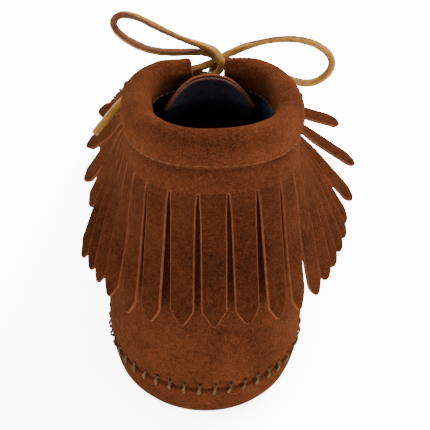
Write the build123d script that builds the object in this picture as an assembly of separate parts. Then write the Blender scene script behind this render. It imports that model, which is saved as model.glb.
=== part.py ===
from build123d import *
import os
import numpy as np

# ------------------------------------------------------------------ driving dimensions (mm)
LENGTH = 236.0                      # sole outline, heel to toe
HEEL_HALF, WAIST_CUT, BALL_ADD = 36.0, 2.5, 5.0
TOE_LIFT = 9.0                      # extra height of the forefoot
CUFF_X, CUFF_Y = 2.5, -64.5         # centre of the ankle opening
CUFF_A, CUFF_B, CUFF_N = 28.0, 41.5, 2.5
TOP_BACK, TOP_FRONT = 111.0, 94.0   # height of the cuff stitch line, back and front
SUEDE = 1.4                         # suede thickness
CLEAR = 0.1                         # left between pieces that lie on each other
D_IN, D_MID, D_OUT = 0.0, 1.5, 3.0  # layers counted outward from the foot
BAND_IN, BAND_OUT = 4.0, 5.4        # fringe layer hangs clear of the boot
SOLE_T, BED_T = 1.6, 4.0
SEAM_HEEL, SEAM_RISE = 15.0, 19.0   # height of the sole seam at the heel, and its rise to the toe
JOIN_Y, JOIN_Z = 8.0, 66.0          # top of the slanting join between vamp and quarter
JOIN_DY, JOIN_DZ = 17.0, 46.0       # its slope
BAND_DROP, BAND_DROP_LESS = 10.4, 3.0
PITCH, NARROW, SHIFT, COUNT = 10.5, 0.2, -2.0, 13
STRAND_LEN, SLIT, TIP_LEN, TIP_HALF = 53.0, 0.5, 6.5, 0.9
ROOT_DROP, BOW = 0.85, 1.5          # play above a strand's root, and its outward bow in degrees
STRAND_NO = [0, 1, 3, 6, 7, 8, 10, 13]               # strands counted from the back
RIGHT_LEAN = [8, 7, 13, 18, 20, 21, 15, 9]           # degrees off the wall, outer side of the foot
LEFT_LEAN = [8, 7, 13, 11, 12, 5, 8, 17]
RIGHT_TURN = [0, 4, 38, 40, 34, 34, 38, 30]          # degrees towards the heel
LEFT_TURN = [0, 10, 40, 40, 40, -35, -25, 0]
GAP_X, GAP_HALF = 3.4, 7.8          # front opening between the two cuff ends
THROAT_Z, THROAT_HALF = 66.0, 3.6   # where the front opening narrows
CUFF_H, CUFF_WALL, LACE_D = 16.5, 1.7, 3.0
TONGUE_HALF, TONGUE_TOP = 19.0, 105.0
WHIP_PITCH, WHIP_HALF, WHIP_D = 6.0, 2.7, 1.2
FINE_PITCH, FINE_LEN, FINE_D = 3.6, 2.4, 0.6
TAU = 2 * np.pi
os.makedirs("parts", exist_ok=True)


def smooth(a, b, x):
    """0 before a, 1 after b, and an S-shaped rise between them."""
    t = np.clip((np.asarray(x, float) - a) / (b - a), 0, 1)
    return t * t * (3 - 2 * t)


# ------------------------------------------------------------------ the shape of the boot
def centre_x(y):
    return -1.5 - 2.0 * smooth(-60, 50, y) - 5.0 * smooth(30, 118, y)


def sole_ring(t):
    """Outline of the sole; t = 0 at the heel, 0.25 on the +X side, 0.5 at the toe."""
    y = -LENGTH / 2 * np.cos(TAU * t)
    side = np.sign(np.sin(TAU * t))
    d, e = y + LENGTH / 2, LENGTH / 2 - y
    half = HEEL_HALF - WAIST_CUT * smooth(30, 95, d) + BALL_ADD * smooth(95, 170, d)
    heel = np.sqrt(np.clip(1 - np.clip(1 - d / 46, 0, 1) ** 2.15, 0, 1))
    toe = np.sqrt(np.clip(1 - np.clip(1 - e / 78, 0, 1) ** 2.1, 0, 1))
    return np.stack([centre_x(y) + side * half * heel * toe, y], -1)


def cuff_ring(t):
    """Superellipse round the ankle, with the same t as the sole."""
    a = TAU * np.asarray(t, float)
    s, c = np.sin(a), -np.cos(a)
    return np.stack([CUFF_X + CUFF_A * np.sign(s) * np.abs(s) ** (2 / CUFF_N),
                     CUFF_Y + CUFF_B * np.sign(c) * np.abs(c) ** (2 / CUFF_N)], -1)


def top_z(y):
    return TOP_BACK + (TOP_FRONT - TOP_BACK) * (y - (CUFF_Y - CUFF_B)) / (2 * CUFF_B)


def cut_z(y):
    """Height at which the slits between the strands begin."""
    f = (y - (CUFF_Y - CUFF_B)) / (2 * CUFF_B)
    return top_z(y) - BAND_DROP + BAND_DROP_LESS * f


def raised(xy, z):
    return np.concatenate([xy, z[..., None]], -1)


def base(t, v):
    """Four rings blended by a cubic Bezier: sole edge, bulge, instep, ankle."""
    t, v = np.broadcast_arrays(np.asarray(t, float), np.asarray(v, float))
    fwd = (1 - np.cos(TAU * t)) / 2
    sole, cuff = sole_ring(t), cuff_ring(t)
    out = sole - np.stack([centre_x(sole[..., 1]), np.clip(sole[..., 1], -74, 50)], -1)
    out = out / np.maximum(np.linalg.norm(out, axis=-1, keepdims=True), 1e-6)
    f = fwd[..., None]
    q0 = raised(sole - 3.0 * out, 0 * fwd)
    q1 = raised(sole + out * (9 - 5 * f), 34 + 5 * fwd + TOE_LIFT * fwd ** 2)
    instep = cuff + np.stack([-5 + 0 * fwd, 30 + 0 * fwd], -1) * f ** 2
    instep = instep + (instep - np.array([CUFF_X, CUFF_Y])) * np.array([0.12, 0.0])
    q2 = raised(instep, 80 - 38 * fwd + TOE_LIFT * fwd ** 2)
    q3 = raised(cuff, top_z(cuff[..., 1]))
    v = v[..., None]
    return (1 - v) ** 3 * q0 + 3 * (1 - v) ** 2 * v * q1 + 3 * (1 - v) * v * v * q2 + v ** 3 * q3


def normal(t, v):
    """Outward direction, turned level at the sole and into the plane of the top edge at the ankle."""
    h = 1e-3
    vv = np.clip(np.asarray(v, float), h, 1 - h)
    n = np.cross(base(t + h, vv) - base(t - h, vv), base(t, vv + h) - base(t, vv - h))
    n = n / np.linalg.norm(n, axis=-1, keepdims=True)
    flat = n.copy()
    flat[..., 2] = 0
    flat = flat / np.linalg.norm(flat, axis=-1, keepdims=True)
    v = np.asarray(v, float)
    tilt = (TOP_FRONT - TOP_BACK) / (2 * CUFF_B)
    flat[..., 2] = tilt * flat[..., 1] * (v > 0.5)
    k = (smooth(0.0, 0.08, v) * smooth(0.0, 0.06, 1 - v))[..., None]
    return n * k + flat * (1 - k)


def shell(t, v, d):
    return base(t, v) + normal(t, v) * d


# ------------------------------------------------------------------ the ankle ring by length
GRID = np.linspace(-0.5, 0.5, 2001)


def ring_table(offset):
    """Length from the back, point and outward direction along the ankle ring at this offset."""
    p = cuff_ring(GRID)
    g = np.gradient(p, axis=0)
    g = g / np.linalg.norm(g, axis=1, keepdims=True)
    n = np.stack([g[:, 1], -g[:, 0]], 1)
    q = p + n * offset
    s = np.concatenate([[0], np.cumsum(np.linalg.norm(np.diff(q, axis=0), axis=1))])
    return s - s[len(s) // 2], q, n


def along(s, offset):
    length, q, n = ring_table(offset)
    xy = np.array([np.interp(s, length, q[:, 0]), np.interp(s, length, q[:, 1])])
    nn = np.array([np.interp(s, length, n[:, 0]), np.interp(s, length, n[:, 1])])
    return xy, nn / np.linalg.norm(nn)


def t_at(s, offset):
    return np.interp(s, ring_table(offset)[0], GRID)


def ring_end(offset, side, margin=0.0):
    """Length along the ring at which its x meets the front opening's edge."""
    length, q, n = ring_table(offset)
    x = GAP_X + side * (GAP_HALF + margin)
    ok = (q[:, 1] > CUFF_Y) & ((q[:, 0] - x) * side > 0)
    return length[ok].max() if side > 0 else length[ok].min()


# ------------------------------------------------------------------ fringe strands
def strand_at(k):
    """Length along the ring of strand k: 0 at the back, each one a little narrower to the front."""
    n = abs(k)
    return SHIFT + np.sign(k) * (PITCH * n - NARROW * n * n / 2)


def strand_lean(k):
    """Angles off the boot's wall at root and tip, and the turn of the fall towards the heel, in degrees."""
    lean, turn = (RIGHT_LEAN, RIGHT_TURN) if k > 0 else (LEFT_LEAN, LEFT_TURN)
    middle = np.interp(abs(k), STRAND_NO, lean)
    return middle - BOW, middle + BOW, np.interp(abs(k), STRAND_NO, turn)


def strand_line(k, n=11, length=STRAND_LEN):
    """Centre line of strand k, the directions of its face, and the direction across it."""
    mid = (BAND_IN + BAND_OUT) / 2
    t = t_at(strand_at(k), mid)
    p = shell(t, np.linspace(1, 0.55, 240), mid)
    u = abs(k) / COUNT
    i = int(np.argmax(p[:, 2] < cut_z(p[:, 1]) - ROOT_DROP - 0.75 * u))
    root = p[i]
    nn = along(strand_at(k), mid)[1]
    side = np.array([-nn[1], nn[0], 0.0])
    first, last, turn = np.radians(strand_lean(k))
    out = nn * np.cos(turn) - np.sign(k) * side[:2] * np.sin(turn)
    n3 = np.cross(side, p[i] - p[i - 6])
    n3 = n3 * np.sign(n3[:2] @ nn)
    wall = np.arctan2(n3[2], n3[:2] @ out)
    s = np.linspace(0, 1, n)
    a = wall + first + (last - first) * (s[1:] + s[:-1]) / 2
    step = s[1] * length * np.stack([out[0] * np.sin(a), out[1] * np.sin(a), -np.cos(a)], 1)
    pts = np.concatenate([[root], root + np.cumsum(step, 0)])
    heading = wall + first + (last - first) * s
    fall = np.stack([out[0] * np.sin(heading), out[1] * np.sin(heading), -np.cos(heading)], 1)
    face = np.cross(fall, side)
    face = face / np.linalg.norm(face, axis=1, keepdims=True)
    return pts, face * np.sign(face[:, :2] @ nn)[:, None], side


def strand_half(k):
    return (PITCH - NARROW * abs(k)) / 2 - SLIT / 2


def strand_solid(k):
    """A flat strap that narrows a little and ends in a blunt point."""
    pts, face, side = strand_line(k)
    s = np.linspace(0, STRAND_LEN, len(pts))
    wires = []
    for x in [0, 8, 18, 28, 38, STRAND_LEN - TIP_LEN, STRAND_LEN]:
        c = np.array([np.interp(x, s, pts[:, j]) for j in range(3)])
        f = np.array([np.interp(x, s, face[:, j]) for j in range(3)]) * SUEDE / 2
        w = side * (TIP_HALF if x == STRAND_LEN else strand_half(k) * (1 - 0.08 * x / STRAND_LEN))
        corners = [c + w + f, c - w + f, c - w - f, c + w - f]
        wires.append(Wire.make_polygon([Vector(*p) for p in corners], close=True))
    return Solid.make_loft(wires, ruled=True)


# ------------------------------------------------------------------ solids of the boot
LEVELS = [0, .05, .12, .21, .32, .44, .56, .68, .79, .89, .95, 1.0]
RING = 36


def ring_wire(v, d):
    t = (np.arange(RING) + 0.5) / RING
    return Wire([Edge.make_spline([Vector(*q) for q in shell(t, v, d)], periodic=True)])


def solid_at(d):
    """The whole boot, grown by d."""
    return Solid.make_loft([ring_wire(v, d) for v in LEVELS], ruled=False)


def slab(z0, z1):
    return Pos(0, 0, (z0 + z1) / 2) * Box(300, 400, z1 - z0)


def side_prism(points):
    """An outline in the Y-Z plane, carried right through the boot."""
    face = Face(Wire.make_polygon([Vector(-120, *p) for p in points], close=True))
    return Solid.extrude(face, Vector(240, 0, 0))


def below_curve(f, lift=0.0):
    """Everything under z = f(y) + lift."""
    pts = [Vector(0, a, float(f(a)) + lift) for a in np.linspace(-150, 150, 21)]
    corners = [Vector(0, 150, -40), Vector(0, -150, -40)]
    edges = [Edge.make_spline(pts), Edge.make_line(pts[-1], corners[0]),
             Edge.make_line(corners[0], corners[1]), Edge.make_line(corners[1], pts[0])]
    face = Face(Wire(edges))
    return Solid.extrude(face.moved(Location((-120, 0, 0))), Vector(240, 0, 0))


def below_plane(f, lift=0.0):
    """Everything under z = f(y) + lift, for a straight f."""
    return side_prism([(-150, f(-150.) + lift), (150, f(150.) + lift), (150, -60), (-150, -60)])


def front_wedge(margin=0.0):
    """The opening down the front: wide at the cuff, narrow at the throat."""
    z = [(GAP_HALF + margin, 140), (GAP_HALF + margin, 98), (THROAT_HALF + margin, THROAT_Z),
         (0.2 + margin, THROAT_Z - 4)]
    p = [(GAP_X + w, h) for w, h in z] + [(GAP_X - w, h) for w, h in reversed(z)]
    face = Face(Wire.make_polygon([Vector(a, -42, b) for a, b in p], close=True))
    return Solid.extrude(face, Vector(0, 110, 0))


def seam_z(y):
    """Height of the seam between the bottom piece and the uppers."""
    return SEAM_HEEL + SEAM_RISE * smooth(-40, 100, y)


def vamp_side(shift=0.0):
    """Everything in front of the slanting join between vamp and quarter."""
    lo = np.array([JOIN_Y + shift - 3 * JOIN_DY, JOIN_Z - 3 * JOIN_DZ])
    hi = np.array([JOIN_Y + shift + 3 * JOIN_DY, JOIN_Z + 3 * JOIN_DZ])
    return side_prism([lo, hi, hi + [300, 0], lo + [340, 0]])


def largest(shape):
    """The largest solid of a cut shape, without the crumbs beside it."""
    return max(shape.solids(), key=lambda s: s.volume)


def save(shape, name):
    shape.label = name
    export_step(shape, f"parts/{name}.step")
    print(name, "volume %.0f" % sum(s.volume for s in shape.solids()), "solids", len(shape.solids()))


def make_outsole():
    """A thin sole cut just inside the wrap's edge."""
    t = (np.arange(48) + 0.5) / 48
    edge = shell(t, 0.0, D_OUT - 1.0)
    plan = Face(Wire([Edge.make_spline([Vector(p[0], p[1], 0) for p in edge], periodic=True)]))
    save(Solid.extrude(plan, Vector(0, 0, SOLE_T)), "outsole")


def make_uppers():
    """Bottom wrap, vamp and quarter, cut from one skin, with the lining and the footbed inside."""
    floor_top = SOLE_T + SUEDE
    hollow = solid_at(D_OUT - SUEDE) & slab(floor_top, 140)
    skin = (solid_at(D_OUT) & slab(SOLE_T, 140)) - hollow
    save(largest(skin & below_curve(seam_z)), "bottom_wrap")
    upper = largest(skin - below_curve(seam_z, CLEAR))
    save(largest(upper & vamp_side(CLEAR)), "vamp_plug")
    save(largest((upper - vamp_side()) - front_wedge()), "heel_quarter")
    lining = solid_at(D_MID) & slab(floor_top + .05, 140)
    lining = lining - (solid_at(D_IN) & slab(floor_top - 1, 140))
    save(largest(lining - front_wedge()), "boot_lining")
    save(largest(solid_at(-0.2) & slab(floor_top + .05, floor_top + BED_T)), "footbed")


# ------------------------------------------------------------------ rolled cuff with its tunnel
def cuff_outline(inset):
    """Cross-section of the roll: (outward, up) from the shaft's top edge."""
    q = np.array([(BAND_OUT - .1, 0.15), (7.2, 5.0), (7.6, 9.6), (5.6, 14.2), (1.4, CUFF_H),
                  (-3.0, 14.6), (-5.0, 10.0), (-4.4, 5.0), (-1.7, 0.15)])
    inward = q - np.array([1.5, 8.2])
    return q - inward * inset / np.linalg.norm(inward, axis=1, keepdims=True)


def cuff_wire(s, inset):
    """The section at length s. Its foot lies just over the tilted top edge all the way across."""
    xy, nn = along(s, 0.0)
    pts = []
    for a, b in cuff_outline(inset):
        p = xy + nn * a
        pts.append(Vector(*p, float(top_z(p[1])) + b))
    return Wire([Edge.make_spline(pts), Edge.make_line(pts[-1], pts[0])])


def make_cuff():
    stations = np.linspace(ring_end(0.0, -1), ring_end(0.0, 1), 33)
    roll = Solid.make_loft([cuff_wire(s, 0) for s in stations], ruled=False)
    bore = Solid.make_loft([cuff_wire(s, CUFF_WALL) for s in stations], ruled=False)
    save(largest(roll - bore), "cuff_tunnel")


def make_fringe():
    band = (solid_at(BAND_OUT) - solid_at(BAND_IN)) & below_plane(top_z, -0.05)
    band = band - below_plane(cut_z)
    save(largest(band - front_wedge(0.4)), "fringe_band")
    for i, k in enumerate(range(-COUNT, COUNT + 1)):
        save(strand_solid(k), f"strand_{i + 1:02d}")


# ------------------------------------------------------------------ tongue
# (height, how far inside the front wall it leans, half-width, share of the bend across)
TONGUE_ROWS = [(60, 6.5, 15, .6), (72, 11.0, 15, .6), (84, 5.9, 19, 1), (92, 5.9, 19, 1),
               (99, 7.2, 19, 1), (112, 8.4, 19, 1)]


def front_wall_y(h):
    """How far forward the inside of the front wall is at height h."""
    p = shell(0.5, np.linspace(0.5, 1, 300), 0.0)
    y = float(np.interp(h, p[:, 2], p[:, 1])) if h < TOP_FRONT else float(p[-1, 1])
    return min(y, 9.0) if h < 70 else y


def tongue_arc(row, offset, trim):
    """One curved line across the tongue."""
    h, inward, half, bend = row
    x = np.linspace(trim - half, half - trim, 7)
    y = front_wall_y(h) - inward - offset - 9.0 * bend * (x / TONGUE_HALF) ** 2
    return [Vector(GAP_X + a, b, h) for a, b in zip(x, y)]


def tongue_sheet(d0, d1, trim):
    """A bent sheet between the depths d0 and d1, with a rounded top."""
    wires = []
    for row in TONGUE_ROWS:
        f, g = tongue_arc(row, d0, trim), tongue_arc(row, d1, trim)
        wires.append(Wire([Edge.make_spline(f), Edge.make_line(f[-1], g[-1]),
                           Edge.make_spline(g[::-1]), Edge.make_line(g[0], f[0])]))
    body = Solid.make_loft(wires, ruled=False)
    w = np.linspace(-TONGUE_HALF, TONGUE_HALF, 9)
    top = [Vector(GAP_X + a, -80, TONGUE_TOP - trim - 13.0 * abs(a / TONGUE_HALF) ** 2.6) for a in w]
    right, left = Vector(GAP_X + TONGUE_HALF, -80, 50), Vector(GAP_X - TONGUE_HALF, -80, 50)
    keep = Face(Wire([Edge.make_spline(top), Edge.make_line(top[-1], right),
                      Edge.make_line(right, left), Edge.make_line(left, top[0])]))
    return largest(body & Solid.extrude(keep, Vector(0, 140, 0)))


# ------------------------------------------------------------------ lace
def cord(points, dia, name):
    """A tube along straight runs joined by the largest tangent arcs that they allow."""
    p = [np.array(q, float) for q in points]
    run = [np.linalg.norm(b - a) for a, b in zip(p, p[1:])]
    radii, edges, start = [], [], p[0]
    for i in range(1, len(p) - 1):
        u = (p[i] - p[i - 1]) / run[i - 1]
        w = (p[i + 1] - p[i]) / run[i]
        turn = np.arccos(np.clip(u @ w, -1, 1))
        cut = 0.45 * min(run[i - 1], run[i])
        r = cut / np.tan(turn / 2)
        a, b = p[i] - u * cut, p[i] + w * cut
        inward = (w - u) / np.linalg.norm(w - u)
        mid = p[i] + inward * (r / np.cos(turn / 2) - r)
        edges.append(Edge.make_line(Vector(*start), Vector(*a)))
        edges.append(Edge.make_three_point_arc(Vector(*a), Vector(*mid), Vector(*b)))
        radii.append(r)
        start = b
    edges.append(Edge.make_line(Vector(*start), Vector(*p[-1])))
    path = Wire(edges)
    section = Wire.make_circle(dia / 2, Plane(origin=Vector(*p[0]), z_dir=Vector(*(p[1] - p[0]))))
    tube = Solid.sweep(Face(section), path)
    print(name, "length %.1f" % path.length, "min radius %.1f" % min(radii),
          "volume ratio %.3f" % (tube.volume / (np.pi * dia * dia / 4 * path.length)))
    return tube


def tunnel_point(s):
    xy, nn = along(s, 1.5)
    return (*xy, float(top_z(xy[1])) + 8.4)


LEFT_HALF = [(-6.5, -22.7, 102.5), (-1, -21.5, 102.8), (5, -19.5, 104), (12, -16.5, 106.5),
             (22, -14.5, 109.6), (33, -12.5, 110.6), (43, -10, 108.8), (52, -8, 104), (57.5, -6.8, 97),
             (56, -6.8, 89.8), (49, -8, 85.8), (41, -10, 88.2), (32, -11.5, 94), (22, -13, 98.6),
             (13, -15, 101.4), (6.8, -16.5, 101.2), (4.6, -15.5, 96.4), (5, -10.5, 91.5),
             (7.4, -2, 85.5), (9.6, 7, 78.5), (11.2, 15.5, 70.5)]
RIGHT_HALF = [(13.5, -23.1, 102.6), (9.5, -22.3, 106.3), (4.5, -19.2, 108.4), (-1.5, -16.4, 108),
              (-9.5, -14.5, 106.6), (-19, -13, 106.8), (-27, -11.5, 109.8), (-33, -10.6, 114.2),
              (-35.6, -10.2, 119.4), (-32, -10.6, 123.6), (-25, -12, 122.6), (-15.5, -14, 117.6),
              (-6.5, -16, 113.6), (1, -18.6, 112), (6.6, -22, 111.2), (8.8, -24.8, 107.8),
              (8.4, -25, 103), (4.4, -23, 99.8), (-0.8, -18.6, 98.8), (-6.5, -14.6, 97.8),
              (-14.5, -12, 95.5), (-24, -14.5, 92), (-32.5, -19.5, 87.5), (-39, -22.6, 81),
              (-44.4, -23, 74)]


def make_laces():
    save(cord(LEFT_HALF, LACE_D, "lace_left_half"), "lace_left_half")
    save(cord(RIGHT_HALF, LACE_D, "lace_right_half"), "lace_right_half")
    hidden = np.linspace(ring_end(1.5, -1, 3.6), ring_end(1.5, 1, 3.6), 22)
    save(cord([tunnel_point(s) for s in hidden], LACE_D, "lace_tunnel_run"), "lace_tunnel_run")


# ------------------------------------------------------------------ stitches
def bar(a, b, dia):
    a, b = Vector(*a), Vector(*b)
    return Solid.make_cylinder(dia / 2, (b - a).length, Plane(origin=a, z_dir=(b - a)))


def lengths(points):
    return np.concatenate([[0], np.cumsum(np.linalg.norm(np.diff(points, axis=0), axis=1))])


def level_at(t, f):
    """Level at which the outer skin passes the height f(y)."""
    v = np.linspace(0.02, 1.0, 400)
    p = shell(t, v, D_OUT)
    return v[int(np.argmax(p[:, 2] > f(p[:, 1])))]


def make_whip_stitches():
    """Thick slanting stitches over the sole seam, all the way round."""
    t = np.linspace(0, 1, 241)
    v = np.array([level_at(a, seam_z) for a in t])
    s = lengths(np.array([shell(a, b, D_OUT) for a, b in zip(t, v)]))
    n = int(s[-1] / WHIP_PITCH)
    at = (np.arange(n) + 0.5) * s[-1] / n
    stitches = []
    for a, b in zip(np.interp(at, s, t), np.interp(at, s, v)):
        dv = WHIP_HALF / np.linalg.norm(base(a, b + .01) - base(a, b - .01)) * .02
        slant = 0.9 / np.linalg.norm(base(a + .001, b) - base(a - .001, b)) * .002
        low, high = shell(a + slant, b - dv, D_OUT + 0.85), shell(a - slant, b + dv, D_OUT + 0.85)
        stitches.append(bar(low, high, WHIP_D))
    save(Compound(stitches), "sole_whip_stitches")


def make_cuff_topstitch():
    """Two rows of machine stitches at the foot of the roll, one outside and one inside."""
    stitches = []
    for offset in (BAND_OUT + 1.0, -3.4):
        for s in np.arange(ring_end(offset, -1, 3), ring_end(offset, 1, 3), FINE_PITCH):
            p, q = along(s, offset)[0], along(s + FINE_LEN, offset)[0]
            stitches.append(bar((*p, top_z(p[1]) + 1.4), (*q, top_z(q[1]) + 1.4), FINE_D))
    save(Compound(stitches), "cuff_topstitch")


def behind_join(t, back=3.0):
    """Level and point of the outer skin just behind the slanting join."""
    v = np.linspace(0.15, 0.98, 500)
    p = shell(t, v, D_OUT)
    ahead = (p[:, 1] - (JOIN_Y - back)) * JOIN_DZ - (p[:, 2] - JOIN_Z) * JOIN_DY
    i = int(np.argmax(ahead < 0))
    return v[i], p[i]


def make_vamp_stitches():
    """A row of machine stitches beside the join, on each side of the foot."""
    stitches = []
    for far in (0.24, 0.76):
        t = np.linspace(0.5 + 0.01 * np.sign(far - 0.5), far, 120)
        found = [behind_join(a) for a in t]
        v = np.array([f[0] for f in found])
        p = np.array([f[1] for f in found])
        keep = (p[:, 2] > seam_z(p[:, 1]) + 4) & (np.abs(p[:, 0] - GAP_X) > 6.5)
        t, v, s = t[keep], v[keep], lengths(p[keep])
        for x in np.arange(1.0, s[-1] - 3, FINE_PITCH):
            ends = [shell(np.interp(y, s, t), np.interp(y, s, v), D_OUT + .4) for y in (x, x + FINE_LEN)]
            stitches.append(bar(*ends, FINE_D))
    save(Compound(stitches), "vamp_seam_stitches")


make_outsole()
make_uppers()
make_cuff()
make_fringe()
save(tongue_sheet(0.0, 1.4, 0.0), "tongue")
save(tongue_sheet(1.55, 2.8, 0.8), "tongue_lining")
make_laces()
make_whip_stitches()
make_cuff_topstitch()
make_vamp_stitches()
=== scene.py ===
# %% [markdown]
# A fringed suede moccasin, seen from behind the heel. The imported CAD model is the fixed frame: every piece
# below is built in that frame, most take the place of one CAD node, and all but the fringe strands ride on a
# body.
# The shapes are formulas in millimetres, turned into metres only when a mesh is made.

# %% Load the frame
import bmesh
import bpy
import numpy as np
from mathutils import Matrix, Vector


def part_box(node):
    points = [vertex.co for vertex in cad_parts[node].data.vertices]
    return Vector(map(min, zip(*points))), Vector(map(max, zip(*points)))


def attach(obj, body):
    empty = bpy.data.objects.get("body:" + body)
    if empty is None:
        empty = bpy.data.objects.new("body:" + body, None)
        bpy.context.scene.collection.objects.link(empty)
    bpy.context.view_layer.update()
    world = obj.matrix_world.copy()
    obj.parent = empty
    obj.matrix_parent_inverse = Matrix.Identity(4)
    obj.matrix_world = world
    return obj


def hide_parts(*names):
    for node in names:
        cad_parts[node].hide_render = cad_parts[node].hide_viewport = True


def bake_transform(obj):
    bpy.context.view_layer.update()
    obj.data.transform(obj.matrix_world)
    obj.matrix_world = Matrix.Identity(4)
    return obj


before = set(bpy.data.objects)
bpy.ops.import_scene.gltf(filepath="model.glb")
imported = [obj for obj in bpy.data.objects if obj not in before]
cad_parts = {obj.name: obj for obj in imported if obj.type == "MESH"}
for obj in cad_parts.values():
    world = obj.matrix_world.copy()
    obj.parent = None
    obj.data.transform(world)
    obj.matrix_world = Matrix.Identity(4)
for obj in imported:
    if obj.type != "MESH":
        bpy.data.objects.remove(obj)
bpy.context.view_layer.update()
MM = 0.001
TAU = 2 * np.pi

# %% [markdown]
# The camera comes first. A long lens far from a small object keeps the perspective gentle, as in a product
# picture. A camera looks along its own -Z axis, so its rotation is worked out from the direction of view with
# to_track_quat.

# %% Camera
AZIMUTH, ELEVATION, DISTANCE = -3.5, 35.0, 0.65
LENS = 134.0                                  # mm on Blender's 36 mm sensor
AIM = Vector((0.0037, -0.0648, 0.0591))       # between the collar and the heel


def direction(azimuth, elevation):
    """Unit vector from the object towards a viewer: azimuth 0 stands behind the heel, at -Y."""
    a, e = np.radians(azimuth), np.radians(elevation)
    return Vector((np.sin(a) * np.cos(e), -np.cos(a) * np.cos(e), np.sin(e)))


def place_camera():
    camera = bpy.data.objects.new("camera", bpy.data.cameras.new("camera"))
    bpy.context.scene.collection.objects.link(camera)
    back = direction(AZIMUTH, ELEVATION)
    camera.location = AIM + back * DISTANCE
    camera.rotation_mode = "QUATERNION"
    camera.rotation_quaternion = (-back).to_track_quat("-Z", "Y")
    camera.data.lens = LENS
    camera.data.clip_start = 0.05
    bpy.context.scene.camera = camera
    return camera


print("camera at", [round(x, 3) for x in place_camera().location])

# %% [markdown]
# Every surface becomes a mesh in the same way: an array of points, an array of four-sided faces and
# some numbers per point that the materials read. foreach_set writes whole arrays at once. Points
# that coincide, as at a pole or along a closed seam, are merged, and then the normals are worked out
# again so that all faces of the closed shape look outwards.

# %% Mesh helpers
MERGE = 1e-6


def grid_faces(rows, columns, wrap=False):
    """Corner numbers of the quads of a (rows, columns) grid of points; wrap closes the columns."""
    i = np.arange(rows - 1)[:, None]
    j = np.arange(columns if wrap else columns - 1)[None, :]
    k = (j + 1) % columns
    quads = np.stack([i * columns + j, i * columns + k, (i + 1) * columns + k, (i + 1) * columns + j], -1)
    return quads.reshape(-1, 4)


def make_mesh(name, points, faces, values=None):
    """A new object from points (n, 3) in mm, faces (m, 4) and {attribute name: (n,) numbers}."""
    mesh = bpy.data.meshes.new(name)
    mesh.from_pydata((points.reshape(-1, 3) * MM).tolist(), [], faces.tolist())
    for key, numbers in (values or {}).items():
        attribute = mesh.attributes.new(key, "FLOAT", "POINT")
        attribute.data.foreach_set("value", np.asarray(numbers, np.float32).ravel())
    work = bmesh.new()
    work.from_mesh(mesh)
    bmesh.ops.remove_doubles(work, verts=work.verts, dist=MERGE)
    bmesh.ops.dissolve_degenerate(work, edges=work.edges, dist=MERGE / 2)
    bmesh.ops.recalc_face_normals(work, faces=work.faces)
    work.to_mesh(mesh)
    work.free()
    mesh.shade_smooth()
    piece = bpy.data.objects.new(name, mesh)
    bpy.context.scene.collection.objects.link(piece)
    return piece


def unit(v):
    return v / np.maximum(np.linalg.norm(v, axis=-1, keepdims=True), 1e-9)


def smooth(a, b, x):
    """0 before a, 1 after b, and an S-shaped rise between them."""
    t = np.clip((np.asarray(x, float) - a) / (b - a), 0, 1)
    return t * t * (3 - 2 * t)


def rounded(mid, half, axis, start=True, end=True, steps=3):
    """Adds a half-round edge at one or both ends of a sheet: each new row goes out by r sin(a) along
    the sheet and keeps cos(a) of its thickness, for angles a up to 90 degrees."""
    mid, half = np.moveaxis(mid, axis, 0), np.moveaxis(half, axis, 0)
    a = np.linspace(0, np.pi / 2, steps + 1)[1:][:, None, None]
    flag = np.zeros(mid.shape[:2])
    for at, beside, on in ((0, 1, start), (-1, -2, end)):
        if not on:
            continue
        r = np.linalg.norm(half[at], axis=-1, keepdims=True)
        out = unit(mid[at] - mid[beside])
        added = (mid[at] + out * r * np.sin(a), half[at] * np.cos(a), np.ones((steps, mid.shape[1])))
        pairs = zip((mid, half, flag), added)
        if at == 0:
            mid, half, flag = (np.concatenate([new[::-1], old]) for old, new in pairs)
        else:
            mid, half, flag = (np.concatenate([old, new]) for old, new in pairs)
    flag = np.moveaxis(flag[..., None], 0, axis)[..., 0]
    return np.moveaxis(mid, 0, axis), np.moveaxis(half, 0, axis), flag


def sheet_piece(name, mid, half, wrap=False, ends=(True, True), values=None):
    """A closed sheet of leather. mid is (along, across, 3), half points from it to the outer face.
    All free edges are rounded. wrap closes the second direction, as round the whole boot."""
    mid, half, flags = rounded(mid, half, 0, *ends)
    if not wrap:
        mid, half, more = rounded(mid, half, 1)
        grown = (more.shape[1] - flags.shape[1]) // 2
        flags = np.maximum(np.pad(flags, [(0, 0), (grown, grown)]), more)
    rows, columns = mid.shape[:2]
    quads = grid_faces(rows, columns, wrap)
    points = np.concatenate([(mid + half).reshape(-1, 3), (mid - half).reshape(-1, 3)])
    faces = np.concatenate([quads, quads[:, ::-1] + rows * columns])
    outer = np.repeat([1.0, 0.0], rows * columns)
    numbers = {"cut_edge": np.tile(flags.ravel(), 2), "outer_face": outer}
    return make_mesh(name, points, faces, {**numbers, **(values or {})})


def tube_piece(name, rings, values=None, caps=True):
    """A closed tube from rings (stations, round, 3); each end closes on its own centre."""
    if caps:
        ends = rings.mean(axis=1, keepdims=True).repeat(rings.shape[1], axis=1)
        rings = np.concatenate([ends[:1], rings, ends[-1:]])
        if values:
            values = {k: np.concatenate([v[:1], v, v[-1:]]) for k, v in values.items()}
    return make_mesh(name, rings, grid_faces(rings.shape[0], rings.shape[1], True), values)


print("mesh helpers ready")

# %% [markdown]
# Leather is never quite even. A cheap way to make smooth random numbers over a whole array of points
# is value noise: random values on the corners of a cubic lattice, blended inside each cell. A fixed
# seed gives the same boot on every run.

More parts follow.
